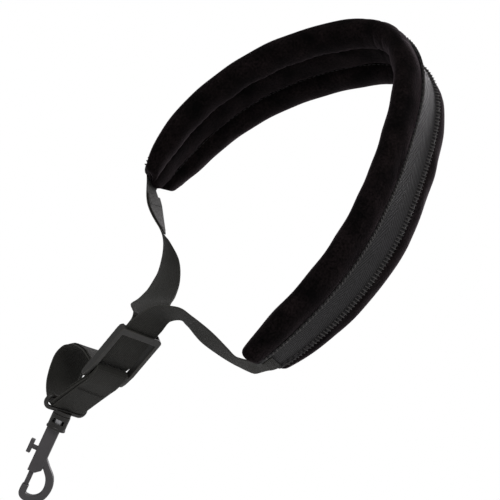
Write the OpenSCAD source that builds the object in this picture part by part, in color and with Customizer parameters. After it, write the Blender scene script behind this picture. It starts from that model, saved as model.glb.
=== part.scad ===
// Padded saxophone neck strap: velour pad, webbing legs, length slider and swivel snap hook.
// Millimetres. +Z is up, the snap hook hangs straight down. The origin is on the hook's axis,
// in the middle of the webbing fold that passes through the swivel eye.

/* [Pad] */
// Length of the padded part, measured along its bend
pad_length = 480; // [440:5:500]
// Half of the pad's width
pad_half = 33; // [31:0.5:35]
// How far a padded edge roll stands off the pad's middle surface
roll_rise = 7.5; // [6.5:0.5:8.5]
// How far the flatter middle panel stands off on the neck side
panel_rise = 4.2; // [3.5:0.1:5]
// Distance from the pad's middle to each sewn channel seam
seam_at = 10.8; // [10:0.2:11.6]
// Thickness of the velour cover
cover_thick = 0.9; // [0.8:0.05:1]
// How much narrower the pad gets at its two ends, as a share of its width
end_share = 0.58; // [0.5:0.02:0.7]
// Length over which each end narrows
end_run = 56; // [48:2:64]

/* [Ribbon] */
// Width of the herringbone ribbon on the outer face
ribbon_wide = 31; // [30:0.5:32]
// Thickness of the ribbon
ribbon_thick = 1.2; // [0.8:0.1:1.4]

/* [Webbing] */
// Width of the webbing
web_wide = 24.4; // [23:0.2:24.6]
// Thickness of one layer of webbing
web_thick = 1; // [0.9:0.05:1.02]

/* [Slider] */
// Outside width of the slider
slider_wide = 32.6; // [32:0.2:34]
// Overall length of the slider
slider_long = 47.2; // [46.4:0.4:48]
// Width of each side rail
rail_wide = 2.8; // [2.6:0.1:3]
// Depth of the side rails, front to back
rail_deep = 6; // [5.5:0.25:6.5]
// Height of the top bar
top_bar = 4.8; // [4.4:0.2:5.6]

/* [Swivel eye] */
// Thickness of the eye's rod
rod = 3; // [2.8:0.1:3.1]
// Overall width of the eye
eye_wide = 34; // [33.6:0.2:36]
// Drop from the eye's top bar to its bottom bar, centre to centre
eye_drop = 7.8; // [7.7:0.1:8]

/* [Snap hook] */
// Turn of the hook on its swivel, seen from above
hook_turn = -36; // [-60:1:0]
// Outside diameter of the swivel collar
collar_d = 12.6; // [12:0.2:13.2]
// Width of the flat hook body
body_wide = 8.8; // [8.6:0.1:9.4]
// Depth of the flat hook body, front to back
body_deep = 7; // [6.8:0.1:8]
// Diameter of the sliding gate bolt
bolt_d = 3.4; // [3.2:0.1:3.5]

/* [Hidden] */
$fn = 48;

black = [0.05, 0.05, 0.055];
web_grey = [0.16, 0.16, 0.15];
plastic = [0.2, 0.2, 0.2];
hook_grey = [0.3, 0.29, 0.3];
thread = [0.4, 0.4, 0.42];
steel = [0.6, 0.6, 0.62];

// The pad's loop lies in a plane turned and leaned from the vertical.
pad_yaw = -74.6;
pad_lean = -17.9;
pad_start = [-57, 165];
pad_heading = 97;
// Bend of the pad in degrees for each 100 mm of length, at even steps from its left end.
pad_bend = [-33, -39, -43, -37, -30, -154, -60, -7, -25, -35, -20, -1];
// Lean of the pad's width out of square with its loop, at even steps from its left end.
pad_roll = [-15, -6, -4, -2, 14];
// How much the pad spreads at its two edges where it bends, at even steps from its left end.
spread_top = [1, 1, 1.02, 1.06, 1.1, 1.12, 1.1, 1.02, 1, 1, 1, 1];
spread_bottom = [1, 1, 1.03, 1.09, 1.12, 1.06, 0.98, 1, 1, 1, 1, 1];
pad_steps = 60;
// The right end is sewn off at a slant: its top edge runs on further than its bottom edge.
right_slant = 0.3;
slant_steps = 9;
pad_step = pad_length / pad_steps;
// Gap left between neighbouring soft pieces, so that none share any space.
skin = 0.06;

// The webbing below the legs leans from the vertical by this much, top towards the front.
strap_lean = 25;
slider_x = 3.1;
slider_y = -12;
slider_foot = 31.8;
// The webbing runs a little to one side of the slider's middle.
web_x = slider_x - 0.9;
slider_head = slider_foot + slider_long;
centre_bar_z = 42.6;
centre_bar_r = 1.2;
centre_bar_y = slider_y + 1.9;
keeper_thick = 1.4;
keeper_y = slider_y + rail_deep - keeper_thick;
bar_front = 2;
run_y = (slider_y + bar_front + keeper_y) / 2;

function lookup_even(list, share) =
    let (n = len(list) - 1, at = min(max(share, 0), 1) * n, i = min(floor(at), n - 1), f = at - i)
    list[i] * (1 - f) + list[i + 1] * f;

function unit(v) = v / norm(v);
function yaw_lean(p) =
    let (y = p[1] * cos(pad_lean) - p[2] * sin(pad_lean), z = p[1] * sin(pad_lean) + p[2] * cos(pad_lean))
    [p[0] * cos(pad_yaw) - y * sin(pad_yaw), p[0] * sin(pad_yaw) + y * cos(pad_yaw), z];

// Running position and heading along the pad, found by adding up the bend.
pad_walk = [for (i = 0, x = pad_start[0], y = pad_start[1], h = pad_heading; i <= pad_steps;
    h2 = h + lookup_even(pad_bend, (i + 0.5) / pad_steps) * pad_step / 100,
    x = x + cos((h + h2) / 2) * pad_step, y = y + sin((h + h2) / 2) * pad_step,
    h = h2, i = i + 1) [x, y, h]];

// A frame is [point, unit width vector, unit outward vector].
function pad_frame(i) =
    let (w = pad_walk[i], lean = lookup_even(pad_roll, i / pad_steps), out = [-sin(w[2]), 0, cos(w[2])],
        across = [0, 1, 0])
    [yaw_lean([w[0], 0, w[1]]),
        yaw_lean(cos(lean) * across - sin(lean) * out - slant_at(i) * [cos(w[2]), 0, sin(w[2])]),
        yaw_lean(cos(lean) * out + sin(lean) * across)];
function slant_at(i) = right_slant * max(0, 1 - (pad_steps - i) / slant_steps);

pad_frames = [for (i = [0:pad_steps]) pad_frame(i)];

// Narrowing near the pad's ends: 1 in the middle, less at both ends.
function end_ease(i) =
    let (d = min(i, pad_steps - i) * pad_step / end_run)
    d >= 1 ? 1 : sqrt(1 - pow(1 - d, 2));
function wide_at(i) =
    let (share = i < pad_steps / 2 ? end_share : end_share + 0.12)
    share + (1 - share) * end_ease(i);
function rise_at(i) = 0.35 + 0.65 * end_ease(i);
// Distance across the pad at station i of a point w from the middle of a straight pad.
function across(i, w) =
    let (far = lookup_even(w < 0 ? spread_top : spread_bottom, i / pad_steps),
        part = max(0, (abs(w) - seam_at) / (pad_half - seam_at)))
    w * wide_at(i) * (1 + (far - 1) * part);

// Height of the pad's skin off its middle surface at a distance w from its middle.
function bump(w, from, to) =
    let (c = (from + to) / 2, a = (to - from) / 2, t = (abs(w) - c) / a)
    abs(t) >= 1 ? 0 : sqrt(1 - t * t);
function neck_rise(w) =
    abs(w) < seam_at ? 2.2 + (panel_rise - 2.2) * sqrt(max(0, 1 - pow(w / seam_at, 2)))
    : 1 + max(roll_rise * bump(w, seam_at, pad_half), 1.2 * (pad_half - abs(w)) / (pad_half - seam_at));
function outer_rise(w) =
    let (edge = ribbon_wide / 2 - 2)
    abs(w) < edge ? 4.4
    : 1 + max(roll_rise * 0.93 * bump(w, edge - 4, pad_half), 0);

function spread(from, to, n) = [for (k = [0:n]) from + (to - from) * (1 - cos(180 * k / n)) / 2];
middle_stops = spread(-seam_at, seam_at, 6);
wide_stops = concat(spread(-pad_half, -seam_at, 6), [for (k = [1:5]) middle_stops[k]],
    spread(seam_at, pad_half, 6));

// Closed outlines of the neck-side cover and of the outer cover at station i.
function neck_sheet(i) =
    let (r = rise_at(i))
    concat([for (w = wide_stops) [across(i, w), -neck_rise(w) * r - skin]],
        [for (k = [len(wide_stops) - 1:-1:0])
            let (w = wide_stops[k]) [across(i, w), -max(neck_rise(w) * r - cover_thick, 0) - skin]]);
function outer_sheet(i) =
    let (r = rise_at(i))
    concat([for (w = wide_stops) [across(i, w), max(outer_rise(w) * r - cover_thick, 0) + skin]],
        [for (k = [len(wide_stops) - 1:-1:0])
            let (w = wide_stops[k]) [across(i, w), outer_rise(w) * r + skin]]);
// Space left between the foam and the covers.
foam_gap = 0.15;
// Foam between the two sheets, from one numbered stop to another across the width.
function foam_fill(i, from, to) =
    let (r = rise_at(i))
    concat([for (k = [from:to]) let (w = wide_stops[k])
        [across(i, w), -max(neck_rise(w) * r - cover_thick - foam_gap, foam_gap)]],
        [for (k = [to:-1:from]) let (w = wide_stops[k])
            [across(i, w), max(outer_rise(w) * r - cover_thick - foam_gap, foam_gap)]]);

// A solid made by joining one outline to the next along a row of frames.
module sweep(frames, outlines) {
    n = len(outlines[0]);
    m = len(frames);
    points = [for (i = [0:m - 1]) for (p = outlines[i])
        frames[i][0] + p[0] * frames[i][1] + p[1] * frames[i][2]];
    sides = [for (i = [0:m - 2]) for (j = [0:n - 1])
        let (a = i * n + j, b = i * n + (j + 1) % n, c = (i + 1) * n + (j + 1) % n, d = (i + 1) * n + j)
        each [[a, d, c], [a, c, b]]];
    // Both ends are closed by strips between the outline's two long sides.
    half = n / 2;
    cap = [for (j = [0:half - 2])
        each [[j, j + 1, n - 1 - j], [j + 1, n - 2 - j, n - 1 - j]]];
    last = (m - 1) * n;
    far_cap = [for (t = cap) [t[0] + last, t[2] + last, t[1] + last]];
    polyhedron(points = points, faces = concat(cap, sides, far_cap), convexity = 6);
}

function flat_strip(w, from, to) =
    [[-w / 2, from], [0, from], [w / 2, from], [w / 2, to], [0, to], [-w / 2, to]];

function range_frames(from, to) = [for (i = [from:to]) pad_frames[i]];

module pad_sheet(side) {
    sweep(pad_frames, [for (i = [0:pad_steps]) side > 0 ? outer_sheet(i) : neck_sheet(i)]);
}

module neck_side_cover() {
    color(black) pad_sheet(-1);
}
module outer_cover() {
    color(black) pad_sheet(1);
}

foam_inset = 2;
module foam(from, to) {
    sweep(range_frames(foam_inset, pad_steps - foam_inset),
        [for (i = [foam_inset:pad_steps - foam_inset]) foam_fill(i, from, to)]);
}
module top_foam_roll() {
    color(steel) foam(1, 5);
}
module middle_foam() {
    color(steel) foam(7, 11);
}
module bottom_foam_roll() {
    color(steel) foam(13, 17);
}

// The ribbon bridges the outer face, so it sits just above the cover's own height there.
ribbon_gap = 0.75;
ribbon_mid = -1;
function ribbon_share(i) = min(1, wide_at(i) * 1.35);
// Place of a point on the ribbon's underside, at a distance a from the middle of a straight pad.
function ribbon_spot(i, a, lift) =
    let (w = a * ribbon_share(i) / wide_at(i))
    [a * ribbon_share(i), max(outer_rise(w), outer_rise(0)) * rise_at(i) + skin + ribbon_gap + lift];
ribbon_stops = [for (k = [-4:4]) ribbon_mid + ribbon_wide * k / 8];
module herringbone_ribbon() {
    color(web_grey)
        sweep(pad_frames, [for (i = [0:pad_steps])
            concat([for (a = ribbon_stops) ribbon_spot(i, a, 0)],
                [for (k = [8:-1:0]) ribbon_spot(i, ribbon_stops[k], ribbon_thick)])]);
}
// A row of thread lying on top of the ribbon, near one of its edges.
thread_wide = 0.8;
thread_thick = 0.45;
stitch_in = 1.2;
module ribbon_row(a) {
    half = thread_wide / 2;
    color(thread)
        sweep(pad_frames, [for (i = [0:pad_steps])
            let (at = ribbon_spot(i, a, 0)[0],
                foot = 0.1 + max(ribbon_spot(i, a - half, ribbon_thick)[1],
                    ribbon_spot(i, a + half, ribbon_thick)[1]))
            [[at - half, foot], [at + half, foot], [at + half, foot + thread_thick],
                [at - half, foot + thread_thick]]]);
}
module ribbon_stitch_top() {
    ribbon_row(ribbon_mid - ribbon_wide / 2 + stitch_in);
}
module ribbon_stitch_bottom() {
    ribbon_row(ribbon_mid + ribbon_wide / 2 - stitch_in);
}
// The channel seams' thread lies in the valley between panel and roll on the neck side.
module seam_row(w) {
    color(thread)
        sweep(range_frames(1, pad_steps - 1), [for (i = [1:pad_steps - 1])
            let (s = wide_at(i), d = thread_wide / 2,
                foot = -max(neck_rise(w - d / s), neck_rise(w + d / s)) * rise_at(i) - skin - 0.08)
            [[w * s - d, foot - thread_thick], [w * s + d, foot - thread_thick],
                [w * s + d, foot], [w * s - d, foot]]]);
}
module seam_thread_top() {
    seam_row(-seam_at);
}
module seam_thread_bottom() {
    seam_row(seam_at);
}

// Places a point given in the leaning strap's own frame.
function strap_point(p) =
    [p[0], p[1] * cos(strap_lean) - p[2] * sin(strap_lean), p[1] * sin(strap_lean) + p[2] * cos(strap_lean)];

// A smooth curve through way points, with n steps from each to the next.
function curve_at(p, i, t) =
    let (m = len(p) - 1, a = p[max(i - 1, 0)], b = p[i], c = p[i + 1], d = p[min(i + 2, m)])
    0.5 * (2 * b + (c - a) * t + (2 * a - 5 * b + 4 * c - d) * t * t + (3 * b - a - 3 * c + d) * t * t * t);
function curve(p, n) =
    concat([for (i = [0:len(p) - 2]) for (k = [0:n - 1]) curve_at(p, i, k / n)], [p[len(p) - 1]]);

// Turns a row of points with rough width vectors into square frames.
function square_frames(points, widths) =
    [for (i = [0:len(points) - 1])
        let (t = unit(points[min(i + 1, len(points) - 1)] - points[max(i - 1, 0)]),
            w = unit(widths[i] - (widths[i] * t) * t))
        [points[i], w, cross(t, w)]];

web_steps = 5;
// Each leg leaves its end of the pad and comes down behind the slider's top bar.
leg_cut = slider_head - 3;
leg_join = slider_head + 3;
pad_right = pad_frames[pad_steps];
pad_left = pad_frames[0];
leg_lift = ribbon_spot(pad_steps, ribbon_mid - ribbon_wide / 2, ribbon_thick)[1] + web_thick / 2 + 0.15;
leg_space = 0.1;
right_off = run_y - web_thick / 2 - leg_space;
left_off = run_y + web_thick / 2 + leg_space;
strap_x = [1, 0, 0];

// The right webbing is sewn over the ribbon's end, at a slant.
pad_run = unit(pad_right[0] - pad_frames[pad_steps - 1][0]);
pad_start_run = unit(pad_frames[1][0] - pad_left[0]);
right_way = concat(
    [pad_right[0] - 6 * pad_run + (leg_lift + 3) * pad_right[2],
        pad_right[0] + pad_run + (leg_lift + 1.6) * pad_right[2]],
    [[51.5, -98.3, 79], [45.5, -89.5, 77.8], [38, -82, 79.7], [27, -73.6, 83.6],
        [17, -65, 88], [11, -58, 89.3], [5, -49.5, 84]],
    [strap_point([web_x + 0.3, right_off + 0.1, leg_join + 4]), strap_point([web_x, right_off, leg_join]),
        strap_point([web_x, right_off, leg_cut])]);
right_turn = concat([pad_right[1], pad_right[1]],
    [[0.84, 0.44, -0.3], [0.72, 0.62, -0.3], [0.55, 0.75, -0.38], [0.45, 0.77, -0.45],
        [0.5, 0.78, -0.35], [0.66, 0.66, -0.36], [0.88, 0.36, -0.3]],
    [strap_x, strap_x, strap_x]);
// Both legs are sewn to the outer face, over the ribbon's ends.
function left_lift(i) = ribbon_spot(i, ribbon_mid - ribbon_wide / 2, ribbon_thick)[1] + web_thick / 2 + 0.6;
left_way = concat(
    [pad_frames[1][0] + (left_lift(1) + 0.4) * pad_frames[1][2],
        pad_left[0] - pad_start_run + left_lift(0) * pad_left[2]],
    [[36, 64, 143], [45, 54, 129], [49, 45, 118], [48, 32, 107], [39, 13, 97], [24, -9, 89.5]],
    [strap_point([11, 13, 88.4]), strap_point([4, 2, 89.4]), strap_point([web_x, -5.4, 87.6]),
        strap_point([web_x, left_off + 0.25, leg_join + 2.2]),
        strap_point([web_x, left_off, leg_join]), strap_point([web_x, left_off, leg_cut])]);
left_turn = concat([pad_frames[1][1], pad_left[1]],
    [[0.86, 0.5, -0.04], [0.62, 0.78, -0.03], [0.32, 0.93, -0.08], [0.1, 0.94, -0.3],
        [-0.2, 0.88, -0.42], [-0.55, 0.72, -0.4]],
    [[-0.84, 0.36, -0.36], [-0.95, 0.14, -0.24], strap_point([-1, -0.06, 0]), -strap_x, -strap_x, -strap_x]);

function leg_frames(way, turn) = square_frames(curve(way, web_steps), curve(turn, web_steps));
right_frames = leg_frames(right_way, right_turn);
left_frames = leg_frames(left_way, left_turn);

module web(frames, from, to, w) {
    sweep(frames, [for (f = frames) flat_strip(w, from, to)]);
}
module right_webbing() {
    color(web_grey) web(right_frames, -web_thick / 2, web_thick / 2, web_wide);
}
module left_webbing() {
    color(web_grey) web(left_frames, -web_thick / 2, web_thick / 2, web_wide);
}

// The patch doubles the left leg where it leaves the pad.
patch_gap = 0.4;
patch_from = web_steps + 3;
patch_to = 2 * web_steps + 5;
module left_joining_patch() {
    frames = [for (i = [patch_from:patch_to]) left_frames[i]];
    color(web_grey) web(frames, web_thick / 2 + patch_gap, web_thick * 1.5 + patch_gap, web_wide - 1);
}
// Two short rows of stitching across a leg.
module tack(frames, from, to, foot) {
    color(thread) sweep([for (i = [from:to]) frames[i]],
        [for (i = [from:to]) flat_strip(web_wide - 5, foot, foot + thread_thick)]);
}
module left_box_stitch() {
    tack(left_frames, patch_to - 3, patch_to - 2, web_thick * 1.5 + 2 * patch_gap);
}
module right_box_stitch() {
    tack(right_frames, 2, 3, web_thick / 2 + patch_gap);
}

// Slider, built flat in the strap's frame and then leaned with it.
module in_strap() {
    rotate([strap_lean, 0, 0]) children();
}
slider_corner = 3;
module rounded_plate(w, h, r) {
    translate([r, 0]) square([w - 2 * r, h]);
    translate([0, r]) square([w, h - 2 * r]);
    for (x = [r, w - r]) for (y = [r, h - r]) translate([x, y]) circle(r);
}
// Draws in the X-Z plane and gives it depth towards +Y, starting at y.
module upright(y, deep) {
    translate([0, y + deep, 0]) rotate([90, 0, 0]) linear_extrude(deep) children();
}
window_wide = slider_wide - 2 * rail_wide;
foot_bar = 3.2;
foot_bar_y = slider_y + 4.4;
// Outline of a rail seen from its side: the front falls away towards a rounded foot.
rail_side = [[slider_y, slider_long], [slider_y, 14], [slider_y + 1.2, 6], [slider_y + 2.6, 1.6],
    [slider_y + 3.8, 0.2], [slider_y + 4.8, 0], [slider_y + rail_deep - 0.4, 0.8],
    [slider_y + rail_deep, 2.4], [slider_y + rail_deep, slider_long]];
module slider_frame() {
    color(plastic) in_strap() translate([slider_x - slider_wide / 2, 0, slider_foot]) {
        // Two side rails with rounded corners.
        difference() {
            intersection() {
                upright(slider_y, rail_deep) rounded_plate(slider_wide, slider_long, slider_corner);
                rotate([90, 0, 90]) linear_extrude(slider_wide) polygon(rail_side);
            }
            translate([rail_wide, slider_y - 1, -1]) cube([window_wide, rail_deep + 2, slider_long + 2]);
        }
        // Flat top bar, thin enough for the webbing to pass behind.
        upright(slider_y, bar_front)
            translate([rail_wide - 0.5, slider_long - top_bar]) square([window_wide + 1, top_bar]);
        // Keeper behind the top bar, which holds the running webbing in.
        upright(keeper_y, keeper_thick)
            translate([rail_wide - 0.5, slider_long - top_bar]) square([window_wide + 1, top_bar - 0.6]);
        // Bottom bar, set back so that the sewn fold passes in front.
        translate([rail_wide - 0.5, foot_bar_y, 0.6]) cube([window_wide + 1, 1.6, foot_bar]);
        // Centre bar, which the sewn fold wraps.
        translate([rail_wide - 0.5, centre_bar_y, centre_bar_z - slider_foot])
            rotate([0, 90, 0]) cylinder(r = centre_bar_r, h = window_wide + 1);
    }
}

// The loop runs from the sewn fold down in front, round the eye's bar and up the back.
// Each way point is [back, up, lean of the width back, lean of the width up].
layer_gap = 0.1;
// Space left where the legs' tape is divided from the loop's.
cut_gap = 1;
fold = centre_bar_r + web_thick + 0.5;
fold_half = fold * cos(45);
loop_way = [[-4, 14.5, 0, 0], [-6.1, 22, 0, 0], [-8.8, 31.5, 0, 0],
    [centre_bar_y + fold - 0.9, centre_bar_z - 4, 0, 0], [centre_bar_y + fold, centre_bar_z, 0, 0],
    [centre_bar_y + fold_half, centre_bar_z + fold_half, 0, 0], [centre_bar_y, centre_bar_z + fold, 0, 0],
    [centre_bar_y - fold_half, centre_bar_z + fold_half, 0, 0], [centre_bar_y - fold, centre_bar_z, 0, 0],
    [-11.9, 34, 0, 0], [-9.6, 26, 0, 0], [-6.4, 14, 0, 0], [-4.2, 5, 0, 0], [-2.75, -0.6, 0, 0],
    [0, -2.5, 0, 0], [4.5, -2.8, 0, 0], [12.4, -1.8, 0, 0], [19.6, 1.6, 0, 0],
    [25.8, 7, -0.06, 0], [29.6, 13.4, -0.14, 0], [30.6, 21.4, -0.04, -0.02], [29, 26.8, 0.14, -0.1],
    [24.6, 30.6, 0.28, -0.18], [15, 35.3, 0.22, -0.14], [5.6, 37.8, 0.1, -0.05], [-1.4, 39.4, 0.02, 0],
    [-5.2, 44.6, 0, 0],
    [run_y + 0.3, 52.5, 0, 0], [run_y, 61, 0, 0], [run_y, 69, 0, 0], [run_y, leg_cut - cut_gap, 0, 0]];
loop_steps = 4;
loop_points = curve(loop_way, loop_steps);
loop_shift = web_x / slider_foot;
loop_frames = square_frames(
    [for (p = loop_points) strap_point([min(web_x, max(0, p[1] * loop_shift)), p[0], p[1]])],
    [for (p = loop_points) strap_point([1, p[2], p[3]])]);
module loop_inner_webbing() {
    color(web_grey) web(loop_frames, -layer_gap - web_thick, -layer_gap, web_wide);
}
module loop_outer_webbing() {
    color(web_grey) web(loop_frames, layer_gap, layer_gap + web_thick, web_wide);
}
module loop_bar_tack() {
    at = 10 * loop_steps + 2;
    foot = layer_gap + web_thick + 0.08;
    color(thread) sweep([for (i = [at:at + 1]) loop_frames[i]],
        [for (i = [at:at + 1])
            flat_strip(web_wide - 3, foot, foot + thread_thick)]);
}

// Swivel eye: a flattened ring of round rod with a boss below it.
// The eye's top bar stands a little above the bottom of the fold, which hangs slack round it.
eye_top = 2.4;
eye_foot = eye_top - eye_drop;
end_r = eye_drop / 2;
eye_run = eye_wide - rod - 2 * end_r;
module swivel_eye() {
    color(plastic) difference() {
        eye_ring();
        translate([0, 0, collar_top - 0.5]) cylinder(r = pin_r, h = pin_top - collar_top + 0.6);
    }
}
module eye_ring() {
    for (z = [eye_top, eye_foot]) translate([-eye_run / 2, 0, z]) rotate([0, 90, 0])
        cylinder(d = rod, h = eye_run);
    for (s = [0, 180]) rotate([0, 0, s]) translate([eye_run / 2, 0, eye_top - end_r])
        rotate([90, 0, 0]) rotate([0, 0, -90])
            rotate_extrude(angle = 180) translate([end_r, 0]) circle(d = rod);
    translate([0, 0, collar_top + 0.1]) cylinder(r1 = 5.9, r2 = 6.2, h = eye_foot - collar_top);
}
pin_r = 1.4;
pin_top = eye_foot - 0.3;
collar_top = -8;
collar_long = 10.4;
collar_foot = collar_top - collar_long;
// The pin's wide head fills the collar's window.
pin_head_long = 3.6;
pin_head = collar_top - 2.5;
module swivel_pin() {
    color(steel) {
        translate([0, 0, pin_head - pin_head_long])
            cylinder(r = pin_r - 0.02, h = pin_top - pin_head + pin_head_long);
        translate([0, 0, pin_head - pin_head_long]) cylinder(r = 3.9, h = pin_head_long);
    }
}
module swivel_collar() {
    color(plastic) rotate([0, 0, hook_turn]) difference() {
        union() {
            translate([0, 0, collar_foot]) cylinder(d = collar_d, h = collar_long);
            translate([0, 0, collar_foot]) cylinder(d = collar_d + 0.7, h = 1.5);
        }
        translate([0, 0, collar_top - 2.4]) cylinder(r = pin_r + 0.04, h = 3);
        translate([0, 0, collar_foot - 1]) cylinder(r = 4.1, h = collar_long - 1.4);
        translate([-4, -collar_d, collar_top - 6]) cube([8, 2 * collar_d, 3.1]);
    }
}

// The hook's own frame: x is across the flat body, y is its depth, z is down the axis.
body_mid = -1.1;
body_top = collar_foot - 0.05;
body_foot = -50.2;
bore_x = -2.6;
bolt_r = bolt_d / 2;
head_r = bolt_r + 0.3;
slide_gap = 0.05;
travel = 7;
tab_z = -35.1;
head_top = tab_z + 2.2;
plug_foot = head_top + 10.15;
bolt_tip = -61.2;
module in_hook() {
    rotate([0, 0, hook_turn]) children();
}
// Centre line of the hook's arm, from the body's side round the bottom to the nose.
arm_way = [[1.6, body_foot + 11], [5.4, body_foot + 6], [10.2, body_foot + 0.4], [12, body_foot - 6.5],
    [10.4, body_foot - 13], [6, body_foot - 17], [0.6, body_foot - 17.6], [-2.5, body_foot - 15.6],
    [bore_x, bolt_tip + 1.2]];
arm_points = curve(arm_way, 6);
arm_halves = [1.6, 2.2, 2.6, 2.7, 2.7, 2.6, 2.4, 2.3, 2.2];
function arm_side(s, inset) =
    [for (i = [0:len(arm_points) - 1])
        let (t = unit(arm_points[min(i + 1, len(arm_points) - 1)] - arm_points[max(i - 1, 0)]),
            h = lookup_even(arm_halves, i / (len(arm_points) - 1)) - inset)
        arm_points[i] + s * h * [-t[1], t[0]]];
module arm_flat(inset) {
    a = arm_side(1, inset);
    b = arm_side(-1, inset);
    polygon(concat(a, [for (i = [len(b) - 1:-1:0]) b[i]]));
}
arm_deep = 6;
bevel = 0.6;
module hook_body() {
    color(hook_grey) in_hook() difference() {
        union() {
            translate([body_mid - body_wide / 2, -body_deep / 2, body_foot])
                cube([body_wide, body_deep, body_top - body_foot]);
            upright(-arm_deep / 2 + bevel, arm_deep - 2 * bevel) arm_flat(0);
            upright(-arm_deep / 2, arm_deep) arm_flat(bevel);
            translate([0, 0, body_top - 0.5]) cylinder(r = 4.05, h = 3.5);
        }
        // Bore for the bolt's head and spring, then the guide hole below it.
        translate([bore_x, 0, body_foot + 4])
            cylinder(r = head_r + slide_gap, h = plug_foot - body_foot - 2.5);
        translate([bore_x, 0, body_foot - 1]) cylinder(r = bolt_r + slide_gap, h = 6);
        // Slot for the thumb tab's stem.
        translate([body_mid - body_wide / 2 - 1, -stem_half - 0.1, tab_z - stem_half - 0.1])
            cube([bore_x - body_mid + body_wide / 2 + 1, 2 * stem_half + 0.2, travel + 2 * stem_half + 0.3]);
        // Socket in the nose that takes the bolt's tip.
        translate([bore_x, 0, bolt_tip - 0.15]) cylinder(r = bolt_r + 0.1, h = 6);
        // Slanted lower corner.
        translate([body_mid + body_wide / 2 - 2, -10, body_foot - 4]) rotate([0, -40, 0]) cube([6, 20, 4]);
    }
}
stem_half = 1.6;
module body_plug() {
    color(steel) in_hook() translate([bore_x, 0, plug_foot]) cylinder(r = head_r + 0.03, h = 1.48);
}
spring_foot = head_top + 0.15;
spring_top = head_top + 10;
module gate_spring() {
    turns = 4;
    steps = turns * 12;
    wire = 0.22;
    coil = 1.45;
    points = [for (i = [0:steps]) [bore_x + coil * cos(30 * i), coil * sin(30 * i),
        spring_foot + wire + (spring_top - spring_foot - 2 * wire) * i / steps]];
    ups = [for (p = points) [0, 0, 1]];
    frames = square_frames(points, ups);
    color(steel) in_hook() sweep(frames,
        [for (f = frames) [for (a = [45:60:345]) wire * [cos(a), sin(a)]]]);
}
module gate_bolt() {
    color(hook_grey) in_hook() difference() {
        union() {
            translate([bore_x, 0, bolt_tip]) cylinder(r = bolt_r, h = head_top - bolt_tip);
            translate([bore_x, 0, tab_z - 3]) cylinder(r = head_r, h = head_top - tab_z + 3);
        }
        translate([bore_x, 0, tab_z]) rotate([0, -90, 0]) cylinder(r = 0.8, h = 6);
    }
}
tab_out = 10.2;
module thumb_tab() {
    color(hook_grey) in_hook() {
        translate([bore_x - 0.1, 0, tab_z]) rotate([0, -90, 0]) cylinder(r = 0.79, h = tab_out + bore_x);
        translate([bore_x - head_r - 0.2, 0, tab_z]) rotate([0, -90, 0])
            cylinder(r = stem_half, h = tab_out + bore_x - head_r - 0.4);
        translate([-tab_out - 1.5, -2.3, tab_z - 4.7]) cube([2.7, 4.6, 9.4]);
    }
}

neck_side_cover();
outer_cover();
top_foam_roll();
middle_foam();
bottom_foam_roll();
herringbone_ribbon();
ribbon_stitch_top();
ribbon_stitch_bottom();
seam_thread_top();
seam_thread_bottom();
left_webbing();
right_webbing();
left_joining_patch();
left_box_stitch();
right_box_stitch();
slider_frame();
loop_inner_webbing();
loop_outer_webbing();
loop_bar_tack();
swivel_eye();
swivel_pin();
swivel_collar();
hook_body();
body_plug();
gate_spring();
gate_bolt();
thumb_tab();
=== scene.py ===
"""Padded saxophone neck strap: fabric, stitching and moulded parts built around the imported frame.

Lengths are worked out in millimetres, as in the frame's source, and turned into metres when a mesh is made.
"""
import math

import bmesh
import bpy
import numpy as np
from mathutils import Matrix, Vector


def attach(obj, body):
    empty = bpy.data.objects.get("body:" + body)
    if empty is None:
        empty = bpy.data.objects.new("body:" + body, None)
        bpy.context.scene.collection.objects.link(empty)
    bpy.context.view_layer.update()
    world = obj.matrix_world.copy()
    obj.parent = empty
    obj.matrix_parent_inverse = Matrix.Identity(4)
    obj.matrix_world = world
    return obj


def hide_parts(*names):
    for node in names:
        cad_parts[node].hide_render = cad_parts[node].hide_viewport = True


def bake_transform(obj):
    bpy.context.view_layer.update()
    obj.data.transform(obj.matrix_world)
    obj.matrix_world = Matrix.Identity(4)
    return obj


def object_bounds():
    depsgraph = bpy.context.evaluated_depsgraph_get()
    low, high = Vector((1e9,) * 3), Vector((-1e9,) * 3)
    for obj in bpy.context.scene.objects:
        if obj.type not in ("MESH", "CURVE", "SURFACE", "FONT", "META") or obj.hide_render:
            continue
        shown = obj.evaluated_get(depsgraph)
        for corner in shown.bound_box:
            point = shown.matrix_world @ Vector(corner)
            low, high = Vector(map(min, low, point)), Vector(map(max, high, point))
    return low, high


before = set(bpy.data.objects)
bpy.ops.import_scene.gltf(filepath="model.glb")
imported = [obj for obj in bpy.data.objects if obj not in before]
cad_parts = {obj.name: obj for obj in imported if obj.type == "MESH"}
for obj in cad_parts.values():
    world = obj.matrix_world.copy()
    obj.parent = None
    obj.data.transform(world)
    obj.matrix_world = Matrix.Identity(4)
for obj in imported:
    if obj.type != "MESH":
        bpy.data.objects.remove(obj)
cad_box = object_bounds()
MM = 0.001

# ---------------------------------------------------------------- dimensions shared with the frame
# The pad's length along its curve, half its width, and how far its two channels are from the middle.
PAD_LENGTH, PAD_HALF, SEAM_AT = 480.0, 33.0, 10.8
# How far the rolls, the middle panel, the channels and the rim stand off the pad's middle surface.
ROLL_RISE, PANEL_RISE, CHANNEL_RISE, RIM_RISE = 7.5, 4.2, 2.2, 1.0
# The outer face: its flat middle, and its rolls as a share of the neck side's.
FLAT_RISE, OUTER_ROLL = 4.4, 0.93
COVER = 0.9
# The ends narrow to this share of the width, the right end by that much less, over this length.
END_SHARE, RIGHT_END_EXTRA, END_RUN = 0.58, 0.12, 56.0
# The padding's height at the very ends, as a share of its full height.
END_RISE = 0.35
# Cross-sections along the pad, and the distance between two of them.
STATIONS = 60
STEP = PAD_LENGTH / STATIONS
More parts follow.
